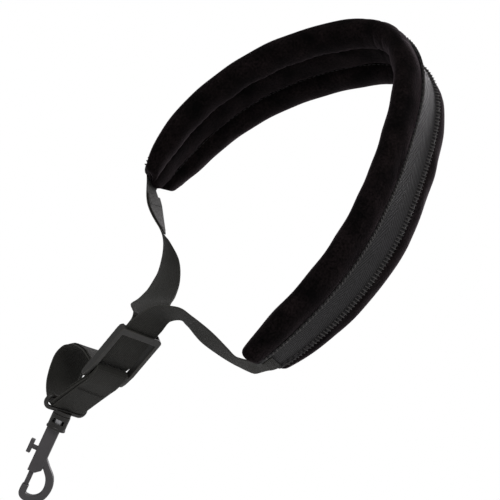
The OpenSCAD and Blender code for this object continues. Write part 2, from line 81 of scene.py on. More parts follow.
# The pad's curve: how its plane is turned, where it starts, which way, and its bend in degrees per 100 mm.
PAD_YAW, PAD_LEAN = math.radians(-74.6), math.radians(-17.9)
PAD_START, PAD_HEADING = (-57.0, 165.0), 97.0
PAD_BEND = [-33, -39, -43, -37, -30, -154, -60, -7, -25, -35, -20, -1]
# Lean of the cross-section from the left end to the right, in degrees.
PAD_ROLL = [-15, -6, -4, -2, 14]
# Width of the upper and the lower roll along the pad, as a share of the plain width.
SPREAD_TOP = [1, 1, 1.02, 1.06, 1.1, 1.12, 1.1, 1.02, 1, 1, 1, 1]
SPREAD_BOTTOM = [1, 1, 1.03, 1.09, 1.12, 1.06, 0.98, 1, 1, 1, 1, 1]
# The right end is cut at a slant, which starts this many stations before it.
RIGHT_SLANT, SLANT_STEPS = 0.3, 9.0
SKIN = 0.06
RIBBON_WIDE, RIBBON_THICK, RIBBON_GAP, RIBBON_MID = 31.0, 1.2, 0.75, -1.0
# The ribbon widens with the pad until it is full width at this share of the pad's.
RIBBON_FOLLOW = 1.35
# The twill's climb along the ribbon for each millimetre across, and its pitch along the ribbon.
TWILL_SLOPE, TWILL_PITCH = 2.2, 5.0
# Webbing, and the spacing of its lengthwise ribs.
WEB_WIDE, WEB_THICK, WEB_RIB = 24.4, 1.0, 1.3
# The slider, its centre bar and the loop lean back by this much.
STRAP_LEAN = math.radians(25)
SLIDER_X, SLIDER_Y, SLIDER_FOOT, SLIDER_LONG = 3.1, -12.0, 31.8, 47.2
SLIDER_HEAD = SLIDER_FOOT + SLIDER_LONG
WEB_X = SLIDER_X - 0.9
BAR_Z, BAR_R, BAR_Y = 42.6, 1.2, SLIDER_Y + 1.9
# The middle of the channel between the top bar and the keeper.
TOP_BAR_BACK, KEEPER_FRONT = SLIDER_Y + 2.0, SLIDER_Y + 6 - 1.4
RUN_Y = (TOP_BAR_BACK + KEEPER_FRONT) / 2
LAYER_GAP = 0.1
# Distance of the two layers' middle from the centre bar's axis where they wrap it.
FOLD = BAR_R + WEB_THICK + 0.5
FOLD_HALF = FOLD * math.cos(math.pi / 4)
# Along the slider: where the legs end behind the top bar, and where they come together above it.
LEG_CUT, LEG_JOIN = SLIDER_HEAD - 3, SLIDER_HEAD + 3


def unit(v):
    v = np.asarray(v, float)
    return v / np.linalg.norm(v)


def even(values, share):
    """Value at a share of the way along evenly spaced values."""
    n = len(values) - 1
    at = min(max(share, 0.0), 1.0) * n
    i = min(int(at), n - 1)
    f = at - i
    return values[i] * (1 - f) + values[i + 1] * f


def yaw_lean(p):
    """Turns a point of the pad's own plane into the frame."""
    c, s = math.cos(PAD_LEAN), math.sin(PAD_LEAN)
    x, y, z = p[0], p[1] * c - p[2] * s, p[1] * s + p[2] * c
    c, s = math.cos(PAD_YAW), math.sin(PAD_YAW)
    return np.array([x * c - y * s, x * s + y * c, z])


def walk():
    """Position and heading at each station of the pad, in its own plane."""
    rows = []
    x, y, h = PAD_START[0], PAD_START[1], math.radians(PAD_HEADING)
    for i in range(STATIONS + 1):
        rows.append((x, y, h))
        h2 = h + math.radians(even(PAD_BEND, (i + 0.5) / STATIONS)) * STEP / 100
        x += math.cos((h + h2) / 2) * STEP
        y += math.sin((h + h2) / 2) * STEP
        h = h2
    return np.array(rows)


WALK = walk()


def smooth_at(rows, i, t):
    """Catmull-Rom value at a share t of the way from row i to the next."""
    m = len(rows) - 1
    a, b, c, d = rows[max(i - 1, 0)], rows[i], rows[i + 1], rows[min(i + 2, m)]
    return 0.5 * (2 * b + (c - a) * t + (2 * a - 5 * b + 4 * c - d) * t * t
                  + (3 * b - a - 3 * c + d) * t ** 3)


def curve(rows, n):
    """Smooth curve through the rows, with n steps from each to the next."""
    rows = np.array(rows, float)
    out = [smooth_at(rows, i, k / n) for i in range(len(rows) - 1) for k in range(n)]
    return np.array(out + [rows[-1]])


def pad_frame(t):
    """Point, width and outward vectors of the pad at station t, which may be a fraction."""
    i = min(int(t), STATIONS - 1)
    x, y, h = smooth_at(WALK, i, t - i) if 0 < t < STATIONS else WALK[int(t)]
    lean = math.radians(even(PAD_ROLL, t / STATIONS))
    out = np.array([-math.sin(h), 0, math.cos(h)])
    wide = np.array([0.0, 1, 0])
    slant = RIGHT_SLANT * max(0, 1 - (STATIONS - t) / SLANT_STEPS)
    along = np.array([math.cos(h), 0, math.sin(h)])
    return (yaw_lean([x, 0, y]), yaw_lean(math.cos(lean) * wide - math.sin(lean) * out - slant * along),
            yaw_lean(math.cos(lean) * out + math.sin(lean) * wide))


PAD_END, PAD_LAST = pad_frame(STATIONS), pad_frame(STATIONS - 1)
PAD_FIRST, PAD_NEXT = pad_frame(0), pad_frame(1)
PAD_RUN = unit(PAD_END[0] - PAD_LAST[0])
PAD_START_RUN = unit(PAD_NEXT[0] - PAD_FIRST[0])


def end_ease(t):
    """Rises from 0 at either end of the pad to 1 where the ends' taper is over."""
    d = min(t, STATIONS - t) * STEP / END_RUN
    return 1.0 if d >= 1 else math.sqrt(max(0, 1 - (1 - d) ** 2))


def wide_at(t):
    share = END_SHARE if t < STATIONS / 2 else END_SHARE + RIGHT_END_EXTRA
    return share + (1 - share) * end_ease(t)


def rise_at(t):
    return END_RISE + (1 - END_RISE) * end_ease(t)


def across(t, w):
    """Distance from the pad's middle line of the point that is w across at full width."""
    far = even(SPREAD_TOP if w < 0 else SPREAD_BOTTOM, t / STATIONS)
    part = max(0, (abs(w) - SEAM_AT) / (PAD_HALF - SEAM_AT))
    return w * wide_at(t) * (1 + (far - 1) * part)


def bump(w, low, high):
    """Half round from 0 at low to 1 midway and 0 at high, on either side of the middle."""
    t = (abs(w) - (low + high) / 2) / ((high - low) / 2)
    return 0.0 if abs(t) >= 1 else math.sqrt(1 - t * t)


def neck_rise(w):
    """Height of the neck side at full size: two rolls with a lower panel between them."""
    if abs(w) < SEAM_AT:
        return CHANNEL_RISE + (PANEL_RISE - CHANNEL_RISE) * math.sqrt(max(0, 1 - (w / SEAM_AT) ** 2))
    slope = (CHANNEL_RISE - RIM_RISE) * (PAD_HALF - abs(w)) / (PAD_HALF - SEAM_AT)
    return RIM_RISE + max(ROLL_RISE * bump(w, SEAM_AT, PAD_HALF), slope)


def outer_rise(w):
    """Height of the outer side at full size: flat under the ribbon, with a roll on either side of it."""
    edge = RIBBON_WIDE / 2 - 2
    if abs(w) < edge:
        return FLAT_RISE
    return RIM_RISE + ROLL_RISE * OUTER_ROLL * bump(w, edge - 4, PAD_HALF)


def cosine(low, high, n):
    """n steps from low to high, closer together towards both ends."""
    return [low + (high - low) * (1 - math.cos(math.pi * k / n)) / 2 for k in range(n + 1)]


def ripple(seed, u, w, size_u, size_w):
    """Smooth, repeatable unevenness between about -1 and 1."""
    r = np.random.RandomState(seed)
    total = 0.0
    for _ in range(5):
        fu, fw = r.uniform(0.6, 1.7, 2)
        p, q = r.uniform(0, 2 * math.pi, 2)
        total += math.sin(u * fu / size_u * 2 * math.pi + p + 1.3 * math.sin(w * fw / size_w * math.pi + q))
    return total / 3.2


# ---------------------------------------------------------------- mesh making
def finish_mesh(name, verts, faces, cloth):
    """Smooth-shaded object from points in millimetres, with the cloth attribute that the weaves use."""
    mesh = bpy.data.meshes.new(name)
    mesh.from_pydata([tuple(v) for v in np.asarray(verts) * MM], [], faces)
    b = bmesh.new()
    b.from_mesh(mesh)
    bmesh.ops.recalc_face_normals(b, faces=b.faces)
    b.to_mesh(mesh)
    b.free()
    for p in mesh.polygons:
        p.use_smooth = True
    a = mesh.attributes.new("cloth", "FLOAT_VECTOR", "POINT")
    a.data.foreach_set("vector", np.asarray(cloth, float).ravel())
    ob = bpy.data.objects.new(name, mesh)
    bpy.context.scene.collection.objects.link(ob)
    return ob


def loft(name, rings, cloth):
    """Closed solid from rings of points: each ring runs out along one face and back along the other."""
    m, n = len(rings), len(rings[0])
    verts = [p for r in rings for p in r]
    marks = [c for r in cloth for c in r]
    faces = [(i * n + j, i * n + (j + 1) % n, (i + 1) * n + (j + 1) % n, (i + 1) * n + j)
             for i in range(m - 1) for j in range(n)]
    half = n // 2
    for base in (0, (m - 1) * n):
        faces += [(base + j, base + j + 1, base + n - 2 - j, base + n - 1 - j) for j in range(half - 1)]
    return finish_mesh(name, verts, faces, marks)


def beads(name, rows, radius, sides=6):
    """Stitches: one plump capsule for each (centre, direction, length)."""
    verts, faces, marks = [], [], []
    # Place along the stitch and radius there, both as shares.
    steps = [(-0.5, 0.35), (-0.42, 0.8), (0, 1.0), (0.42, 0.8), (0.5, 0.35)]
    skew = [0.31, 0.52, 0.79]
    for k, (c, d, length) in enumerate(rows):
        d = unit(d)
        a = unit(np.cross(d, skew))
        b = np.cross(d, a)
        base = len(verts)
        for s, r in steps:
            for j in range(sides):
                g = 2 * math.pi * j / sides
                verts.append(c + d * s * length + radius * r * (math.cos(g) * a + math.sin(g) * b))
                marks.append((s * length + k, j, 0))
        for i in range(len(steps) - 1):
            for j in range(sides):
                faces.append((base + i * sides + j, base + i * sides + (j + 1) % sides,
                              base + (i + 1) * sides + (j + 1) % sides, base + (i + 1) * sides + j))
        faces.append(tuple(base + j for j in reversed(range(sides))))
        top = base + (len(steps) - 1) * sides
        faces.append(tuple(top + j for j in range(sides)))
    return finish_mesh(name, verts, faces, marks)


# ---------------------------------------------------------------- materials
def tree_of(name):
    """New material, with its node tree and its main shader."""
    m = bpy.data.materials.new(name)
    m.use_nodes = True
    return m, m.node_tree, m.node_tree.nodes["Principled BSDF"]


def math_node(tree, op, a, b=None):
    """Result of one sum on numbers or sockets."""
    n = tree.nodes.new("ShaderNodeMath")
    n.operation = op
    for k, v in enumerate((a, b)):
        if v is None:
            continue
        if isinstance(v, (int, float)):
            n.inputs[k].default_value = v
        else:
            tree.links.new(v, n.inputs[k])
    return n.outputs[0]


def noise(tree, scale, detail):
    """Noise with about this many features to the metre."""
    n = tree.nodes.new("ShaderNodeTexNoise")
    n.inputs["Scale"].default_value = scale
    n.inputs["Detail"].default_value = detail
    c = tree.nodes.new("ShaderNodeTexCoord")
    tree.links.new(c.outputs["Object"], n.inputs["Vector"])
    return n.outputs["Fac"]


def ramp(tree, fac, low, high, start=0.3, end=0.7):
    """Colour that goes from low to high as fac goes from start to end."""
    r = tree.nodes.new("ShaderNodeValToRGB")
    r.color_ramp.elements[0].position = start
    r.color_ramp.elements[1].position = end
    r.color_ramp.elements[0].color = (*low, 1)
    r.color_ramp.elements[1].color = (*high, 1)
    tree.links.new(fac, r.inputs["Fac"])
    return r.outputs["Color"]


def cloth_marks(tree):
    """The attribute holds millimetres along the strip, across it, and which face."""
    a = tree.nodes.new("ShaderNodeAttribute")
    a.attribute_name = "cloth"
    s = tree.nodes.new("ShaderNodeSeparateXYZ")
    tree.links.new(a.outputs["Vector"], s.inputs[0])
    return s.outputs


def add_bump(tree, bsdf, height, strength, distance):
    """Bump of this many millimetres."""
    b = tree.nodes.new("ShaderNodeBump")
    b.inputs["Strength"].default_value = strength
    b.inputs["Distance"].default_value = distance * MM
    tree.links.new(height, b.inputs["Height"])
    tree.links.new(b.outputs["Normal"], bsdf.inputs["Normal"])


def mix(tree, fac, a, b, mode="MIX"):
    """Blend of two colours, each of them a tuple or a socket."""
    n = tree.nodes.new("ShaderNodeMix")
    n.data_type = "RGBA"
    n.blend_type = mode
    for sock, v in ((n.inputs["Factor"], fac), (n.inputs["A"], a), (n.inputs["B"], b)):
        if isinstance(v, (int, float)):
            sock.default_value = v
        elif isinstance(v, tuple):
            sock.default_value = (*v, 1)
        else:
            tree.links.new(v, sock)
    return n.outputs["Result"]


def velour_material():
    """Short black pile: brushed patches, fine grain and a faint sheen."""
    m, tree, bsdf = tree_of("velour_pile")
    patches = noise(tree, 70, 4)
    pile = noise(tree, 700, 4)
    tone = ramp(tree, patches, (0.0016, 0.0014, 0.0015), (0.0085, 0.0062, 0.0066), 0.35, 0.7)
    grain = ramp(tree, pile, (0.1, 0.1, 0.1), (1.6, 1.5, 1.5))
    tree.links.new(mix(tree, 0.9, tone, grain, "MULTIPLY"), bsdf.inputs["Base Color"])
    bsdf.inputs["Roughness"].default_value = 0.95
    bsdf.inputs["Specular IOR Level"].default_value = 0.04
    bsdf.inputs["Sheen Weight"].default_value = 0.16
    bsdf.inputs["Sheen Roughness"].default_value = 0.35
    bsdf.inputs["Sheen Tint"].default_value = (0.75, 0.6, 0.68, 1)
    add_bump(tree, bsdf, pile, 0.7, 0.5)
    return m


def wave(tree, value, length):
    """Sine of a value in millimetres, with this wavelength."""
    return math_node(tree, "SINE", math_node(tree, "MULTIPLY", value, 2 * math.pi / length))


def herringbone_material():
    """Black twill that climbs to the ribbon's middle from both edges, as one broad chevron."""
    m, tree, bsdf = tree_of("herringbone_ribbon")
    u, v, _ = cloth_marks(tree)
    off_middle = math_node(tree, "ABSOLUTE", math_node(tree, "SUBTRACT", v, RIBBON_MID))
    climb = math_node(tree, "MULTIPLY", off_middle, TWILL_SLOPE)
    twill = wave(tree, math_node(tree, "SUBTRACT", u, climb), TWILL_PITCH)
    fine = wave(tree, v, 0.62)
    height = math_node(tree, "ADD", twill, math_node(tree, "MULTIPLY", fine, 0.35))
    lift = math_node(tree, "MULTIPLY_ADD", height, 0.3)
    lift.node.inputs[2].default_value = 0.5
    wear_and_edge_highlight = noise(tree, 45, 3)
    base = ramp(tree, lift, (0.0015, 0.0014, 0.0015), (0.031, 0.0293, 0.0318), 0.2, 0.85)
    tint = ramp(tree, wear_and_edge_highlight, (0.55, 0.55, 0.52), (1.25, 1.2, 1.3))
    tree.links.new(mix(tree, 0.45, base, tint, "MULTIPLY"), bsdf.inputs["Base Color"])
    bsdf.inputs["Roughness"].default_value = 0.6
    bsdf.inputs["Specular IOR Level"].default_value = 0.22
    bsdf.inputs["Sheen Weight"].default_value = 0.04
    add_bump(tree, bsdf, height, 0.6, 0.3)
    return m


def webbing_material(name, low, high):
    """Ribbed plain weave with lighter, slightly frayed selvedges."""
    m, tree, bsdf = tree_of(name)
    u, v, _ = cloth_marks(tree)
    ribs = wave(tree, v, WEB_RIB)
    weft = wave(tree, u, 1.0)
    cross = math_node(tree, "MULTIPLY", ribs, weft)
    lengthwise = math_node(tree, "ADD", math_node(tree, "MULTIPLY", ribs, 0.4), cross)
    height = math_node(tree, "ADD", math_node(tree, "MULTIPLY", weft, 0.6), lengthwise)
    lift = math_node(tree, "MULTIPLY_ADD", height, 0.25)
    lift.node.inputs[2].default_value = 0.5
    base = ramp(tree, lift, low, high, 0.05, 0.95)
    wear_and_edge_highlight = noise(tree, 60, 4)
    tint = ramp(tree, wear_and_edge_highlight, (0.6, 0.6, 0.58), (1.3, 1.3, 1.22))
    worn = mix(tree, 0.4, base, tint, "MULTIPLY")
    edge = math_node(tree, "ABSOLUTE", v)
    edge_share = math_node(tree, "DIVIDE", edge, WEB_WIDE / 2)
    selvedge = ramp(tree, edge_share, (0, 0, 0), (1, 1, 1), 0.93, 0.985)
    light = tuple(min(1.0, c * 2.1) for c in high)
    fray = math_node(tree, "MULTIPLY", selvedge, noise(tree, 900, 2))
    tree.links.new(mix(tree, fray, worn, light), bsdf.inputs["Base Color"])
    bsdf.inputs["Roughness"].default_value = 0.72
    bsdf.inputs["Specular IOR Level"].default_value = 0.16
    bsdf.inputs["Sheen Weight"].default_value = 0.05
    add_bump(tree, bsdf, height, 0.6, 0.2)
    return m


def thread_material(name, colour):
    """Twisted thread. On stitches the attribute holds the length along one and the step round it."""
    m, tree, bsdf = tree_of(name)
    u, v, _ = cloth_marks(tree)
    along = math_node(tree, "MULTIPLY", u, 14.0)
    around = math_node(tree, "MULTIPLY", v, 1.05)
    twist = math_node(tree, "SINE", math_node(tree, "ADD", along, around))
    shade = ramp(tree, noise(tree, 260, 2), tuple(c * 0.55 for c in colour), colour)
    tree.links.new(shade, bsdf.inputs["Base Color"])
    bsdf.inputs["Roughness"].default_value = 0.6
    bsdf.inputs["Specular IOR Level"].default_value = 0.2
    add_bump(tree, bsdf, twist, 0.5, 0.12)
    return m


def moulded_material(name, low, high, rough, grain, wear_and_edge_highlight):
    """Black moulded surface with a fine grain, cloudy tone and a painted highlight along its edges in the
    edge highlight colour.
    """
    m, tree, bsdf = tree_of(name)
    speck = noise(tree, grain, 3)
    clouds = noise(tree, 55, 3)
    base = ramp(tree, clouds, low, high, 0.3, 0.75)
    geo = tree.nodes.new("ShaderNodeNewGeometry")
    # Painted highlight: the sharpest edges are lightened in patches, where they would catch the light.
    edge_highlight_mask = ramp(tree, geo.outputs["Pointiness"], (0, 0, 0), (1, 1, 1), 0.515, 0.56)
    patchy_edge_highlight = math_node(tree, "MULTIPLY", edge_highlight_mask, noise(tree, 420, 3))
    tree.links.new(mix(tree, patchy_edge_highlight, base, wear_and_edge_highlight), bsdf.inputs["Base Color"])
    r = math_node(tree, "MULTIPLY_ADD", speck, 0.22)
    r.node.inputs[2].default_value = rough - 0.11
    tree.links.new(r, bsdf.inputs["Roughness"])
    bsdf.inputs["Specular IOR Level"].default_value = 0.4
    add_bump(tree, bsdf, speck, 0.22, 0.12)
    return m


def steel_material():
    """Bare steel with faint cloudy streaks."""
    m, tree, bsdf = tree_of("plain_steel")
    streaks = noise(tree, 800, 4)
    tree.links.new(ramp(tree, streaks, (0.32, 0.32, 0.33), (0.6, 0.6, 0.62)), bsdf.inputs["Base Color"])
    bsdf.inputs["Metallic"].default_value = 1.0
    bsdf.inputs["Roughness"].default_value = 0.34
    add_bump(tree, bsdf, streaks, 0.15, 0.05)
    return m


def foam_material():
    """Grey open-cell foam."""
    m, tree, bsdf = tree_of("open_cell_foam")
    v = tree.nodes.new("ShaderNodeTexVoronoi")
    v.inputs["Scale"].default_value = 900
    c = tree.nodes.new("ShaderNodeTexCoord")
    tree.links.new(c.outputs["Object"], v.inputs["Vector"])
    cells = ramp(tree, v.outputs["Distance"], (0.12, 0.12, 0.125), (0.3, 0.3, 0.31), 0.1, 0.6)
    tree.links.new(cells, bsdf.inputs["Base Color"])
    bsdf.inputs["Roughness"].default_value = 0.9
    add_bump(tree, bsdf, v.outputs["Distance"], 0.6, 0.4)
    return m


VELOUR = velour_material()
RIBBON = herringbone_material()
WEBBING = webbing_material("grosgrain_webbing", (0.0115, 0.0112, 0.0103), (0.031, 0.0305, 0.0276))
THREAD_DARK = thread_material("seam_thread", (0.02, 0.019, 0.02))
THREAD_TICK = thread_material("ribbon_thread", (0.078, 0.0735, 0.0725))
THREAD_GREY = thread_material("tack_thread", (0.02, 0.019, 0.018))
# The last colour of each moulded material is its painted edge highlight; the slider's tan one is painted
# warm light.
SLIDER_MAT = moulded_material("slider_plastic", (0.021, 0.0205, 0.0195), (0.029, 0.028, 0.0265), 0.5, 1400,
                              (0.1, 0.088, 0.068))
HOOK_MAT = moulded_material("hook_shell", (0.052, 0.049, 0.052), (0.066, 0.062, 0.066), 0.52, 1100,
                            (0.11, 0.107, 0.112))
COLLAR_MAT = moulded_material("collar_shell", (0.013, 0.0122, 0.0114), (0.02, 0.019, 0.0176), 0.42, 1100,
                              (0.07, 0.065, 0.058))
STEEL = steel_material()
FOAM = foam_material()


def dress(ob, mat, body=None):
    """Gives a piece its material, and the body that it rides on."""
    ob.data.materials.clear()
    ob.data.materials.append(mat)
    if body:
        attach(ob, body)


# ---------------------------------------------------------------- the pad
# Cross-sections of the covers, in stations: seven to each, and closer together at the two ends.
PER_STATION = 7
TIPS = [0.0, 0.06, 0.16, 0.3]
FINE = (TIPS + [k / PER_STATION for k in range(3, STATIONS * PER_STATION - 2)]
        + [float(STATIONS - tip) for tip in reversed(TIPS)])
# Places across the covers.
STOPS = (cosine(-PAD_HALF, -SEAM_AT, 20) + cosine(-SEAM_AT, SEAM_AT, 18)[1:]
         + cosine(SEAM_AT, PAD_HALF, 20)[1:])
# The sharp bend at the back of the neck.
BEND_AT = PAD_LENGTH * 5 / 11
# The outer side has no lumps within this distance of its middle, because the ribbon covers it.
UNDER_RIBBON = RIBBON_WIDE / 2 + 2
# Heights of the unevenness, the puckers and the creases.
UNEVEN, PUCKER, CREASE = 0.6, 0.3, 0.75
# Distance from one pucker, and from one crease, to the next.
PUCKER_PITCH, CREASE_PITCH = 7.5, 11.5
# The creases slant by this much along the pad for each millimetre across, and fade over this length.
CREASE_SLANT, CREASE_FADE = 0.22, 20
# At the left end the lower edge stops short by the first and the middle runs on by the second.
EDGE_PULL, MIDDLE_PUSH = 7.5, 2.6
# The slant of the left end fades out over this many stations.
PULL_STEPS = 5
# The covers close over this length at the ends, from this share of their height.
CLOSE_RUN, CLOSE_FROM = 3.0, 0.45
# How much fuller the rolls are at the right end, and how far out across the pad that starts.
FULLER, FULLER_FROM = 0.34, 16


def bell(x, middle, spread):
    """Smooth hump: 1 at the middle and nearly 0 at two spreads from it."""
    return math.exp(-((x - middle) / spread) ** 2)


def end_close(t):
    """Rounds the pad's ends in over their last few millimetres."""
    d = min(t, STATIONS - t) * STEP / CLOSE_RUN
    return 1.0 if d >= 1 else CLOSE_FROM + (1 - CLOSE_FROM) * math.sqrt(max(0, 1 - (1 - d) ** 2))


def fuller_end(t, w):
    """The rolls stay plump almost to the right end, outside the ribbon's width."""
    outside = min(1.0, max(0.0, (abs(w) - FULLER_FROM) / 5))
    return FULLER * outside * (1 - end_ease(t)) * end_close(t) if t > STATIONS / 2 else 0.0


def lumps(seed, u, w):
    """Uneven padding, puckers along the seams and creases in the sharp bend."""
    uneven = UNEVEN * ripple(seed, u, w, 46, 30)
    seam = bell(abs(w), SEAM_AT + 1.5, 3.2)
    pucker = seam * math.sin(2 * math.pi * u / PUCKER_PITCH + 1.4 * ripple(seed + 3, u, w, 60, 40))
    fold = max(0.0, math.cos(2 * math.pi * (u - BEND_AT + CREASE_SLANT * w) / CREASE_PITCH)) ** 3
    return uneven + PUCKER * pucker - CREASE * bell(u, BEND_AT, CREASE_FADE) * fold


def end_slant(t, w):
    """Moves a point of the left end along the pad, most at the lower roll's edge."""
    near = max(0.0, 1 - t / PULL_STEPS)
    pull = EDGE_PULL * max(0.0, w / PAD_HALF) ** 1.5 - MIDDLE_PUSH * bell(w, -2, 12)
    return pull * near * PAD_START_RUN


def pad_section(t, side):
    """Ring of one cover at station t: side is -1 for the neck side and 1 for the outer side."""
    r = rise_at(t) * end_close(t)
    u = t * STEP
    p, wide, out = pad_frame(t)
    rise = neck_rise if side < 0 else outer_rise
    skin, back, marks = [], [], []
    for w in STOPS:
        # The covers meet at the rim: there the height and the lumps both come to nothing.
        edge = 0.0 if side > 0 and abs(w) < UNDER_RIBBON else min(1.0, (PAD_HALF - abs(w)) / 5)
        h = rise(w) * (r + fuller_end(t, w)) * (abs(w) < PAD_HALF)
        spot = p + across(t, w) * wide + end_slant(t, w)
        skin.append(spot + side * (h + SKIN + edge * r * lumps(5 + side, u, w)) * out)
        inner = max(h - COVER, 0) * min(1.0, (PAD_HALF - abs(w)) / 2.5)
        back.append(spot + side * (inner - 0.01) * out)
        marks.append((u, w, side))
    return skin + back[::-1], marks + marks[::-1]


def pad_cover(name, side, node):
    rings, cloth = zip(*[pad_section(t, side) for t in FINE])
    ob = loft(name, rings, cloth)
    dress(ob, VELOUR, "pad")
    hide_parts(node)


pad_cover("velour_neck_side", -1, "neck_side_cover")
pad_cover("velour_outer_side", 1, "outer_cover")


def foam(name, low, high, node):
    """Filling between the covers, from low to high across, clear of them by a small gap."""
    rings, cloth = [], []
    stops = cosine(low, high, 12)
    short, per_station, gap = 2, 3, 0.35
    for k in range((STATIONS - 2 * short) * per_station + 1):
        t = short + k / per_station
        p, wide, out = pad_frame(t)
        r = rise_at(t)
        top = [p + across(t, w) * wide + max(outer_rise(w) * r - COVER - gap, gap) * out for w in stops]
        foot = [p + across(t, w) * wide - max(neck_rise(w) * r - COVER - gap, gap) * out for w in stops]
        rings.append(foot + top[::-1])
        cloth.append([(t * STEP, w, 0) for w in stops] * 2)
    ob = loft(name, rings, cloth)
    dress(ob, FOAM, "pad")
    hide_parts(node)


RIM_CLEAR, CHANNEL_CLEAR = 1.6, 0.9
foam("foam_top_roll", -PAD_HALF + RIM_CLEAR, -SEAM_AT - CHANNEL_CLEAR, "top_foam_roll")
foam("foam_middle", -SEAM_AT + CHANNEL_CLEAR, SEAM_AT - CHANNEL_CLEAR, "middle_foam")
foam("foam_bottom_roll", SEAM_AT + CHANNEL_CLEAR, PAD_HALF - RIM_CLEAR, "bottom_foam_roll")


def ribbon_share(t):
    """The ribbon's width at station t, as a share of its full width."""
    return min(1, wide_at(t) * RIBBON_FOLLOW)


def ribbon_height(t, a, lift):
    """Height of a place a across the ribbon: it bridges the outer side and turns up on the rolls."""
    w = a * ribbon_share(t) / wide_at(t)
    return max(outer_rise(w), outer_rise(0)) * rise_at(t) + SKIN + RIBBON_GAP + lift


def ribbon_point(t, a, lift):
    p, wide, out = pad_frame(t)
    return p + a * ribbon_share(t) * wide + ribbon_height(t, a, lift) * out


def ribbon():
    rings, cloth = [], []
    n, per_station = 44, 12
    stops = [RIBBON_MID + RIBBON_WIDE * (k / n - 0.5) for k in range(n + 1)]
    # The edges thin out, the twill stops short of them, and the foot sinks into the velour.
    thin_from, thin_by, twill_to, twill_high, sink = 0.94, 0.55, 0.9, 0.05, 0.45
    for i in range(STATIONS * per_station + 1):
        t = i / per_station
        u = t * STEP
        top, foot = [], []
        for a in stops:
            edge = abs(a - RIBBON_MID) / (RIBBON_WIDE / 2)
            thick = RIBBON_THICK * (1 - thin_by * max(0, edge - thin_from) / (1 - thin_from))
            twill = u - TWILL_SLOPE * abs(a - RIBBON_MID)
            chevron = twill_high * math.sin(2 * math.pi * twill / TWILL_PITCH) * (edge < twill_to)
            top.append(ribbon_point(t, a, thick + chevron))
            foot.append(ribbon_point(t, a, -sink))
        rings.append(foot + top[::-1])
        cloth.append([(u, a, -1) for a in stops] + [(u, a, 1) for a in stops[::-1]])
    ob = loft("ribbon_herringbone", rings, cloth)
    dress(ob, RIBBON, "pad")
    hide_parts("herringbone_ribbon")


ribbon()


# Stitches along the ribbon's upper and lower edge: how far each reaches in and out, and its radius.
TICKS = {-1: (1.4, 2.0, 0.58), 1: (2.3, 1.1, 0.46)}


def ribbon_ticks(name, side, node):
    """Overcast stitches along one edge of the ribbon. The upper row reaches out over the roll."""
    a = RIBBON_MID + side * (RIBBON_WIDE / 2 - 0.7)
    rows = []
    pitch, end_gap, sway = 2.5, 5, 0.006
    inward, outward, radius = TICKS[side]
    for k in range(int((PAD_LENGTH - 2 * end_gap) / pitch)):
        t = (end_gap + k * pitch) / STEP
        aside = sway * ripple(31 + side, k * pitch, 0, 9, 9)
        x = ribbon_point(t + 0.1, a - inward * side, RIBBON_THICK + 0.15)
        y = ribbon_point(t + aside, a + outward * side, RIBBON_THICK - 0.1)
        rows.append(((x + y) / 2, y - x, np.linalg.norm(y - x)))
    ob = beads(name, rows, radius)
    dress(ob, THREAD_TICK, "pad")
    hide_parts(node)


ribbon_ticks("ribbon_ticks_top", -1, "ribbon_stitch_top")
ribbon_ticks("ribbon_ticks_bottom", 1, "ribbon_stitch_bottom")


def channel_stitches(name, side, node):
    """Running stitches along the bottom of one channel on the neck side."""
    rows = []
    pitch, end_gap, half_long, radius, beside, clear = 3.6, 12, 1.3, 0.34, 0.4, 0.1
    w = side * SEAM_AT
    for k in range(int((PAD_LENGTH - 2 * end_gap) / pitch)):
        t = (end_gap + k * pitch) / STEP
        ends = []
        for d in (-half_long, half_long):
            s = t + d / STEP
            p, wide, out = pad_frame(s)
            foot = max(neck_rise(w - beside), neck_rise(w + beside)) * rise_at(s) + SKIN + clear
            ends.append(p + across(s, w) * wide - foot * out)
        rows.append(((ends[0] + ends[1]) / 2, ends[1] - ends[0], np.linalg.norm(ends[1] - ends[0])))
    ob = beads(name, rows, radius)
    dress(ob, THREAD_DARK, "pad")
    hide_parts(node)


channel_stitches("channel_stitches_top", -1, "seam_thread_top")
channel_stitches("channel_stitches_bottom", 1, "seam_thread_bottom")


# ---------------------------------------------------------------- webbing
STRAP_X = np.array([1.0, 0, 0])


def strap_point(p):
    """Turns a point of the upright slider into the frame: the strap leans back."""
    c, s = math.cos(STRAP_LEAN), math.sin(STRAP_LEAN)
    return np.array([p[0], p[1] * c - p[2] * s, p[1] * s + p[2] * c])


def square_frames(points, widths):
    """Point, width and outward vectors along a line, with each width squared to the line."""
    out = []
    last = len(points) - 1
    for i in range(last + 1):
        t = unit(points[min(i + 1, last)] - points[max(i - 1, 0)])
        w = unit(widths[i] - np.dot(widths[i], t) * t)
        out.append((points[i], w, np.cross(t, w)))
    return out


def lengths(frames):
    """Distance along the line at each frame."""
    pts = np.array([f[0] for f in frames])
    return np.concatenate([[0], np.cumsum(np.linalg.norm(np.diff(pts, axis=0), axis=1))])


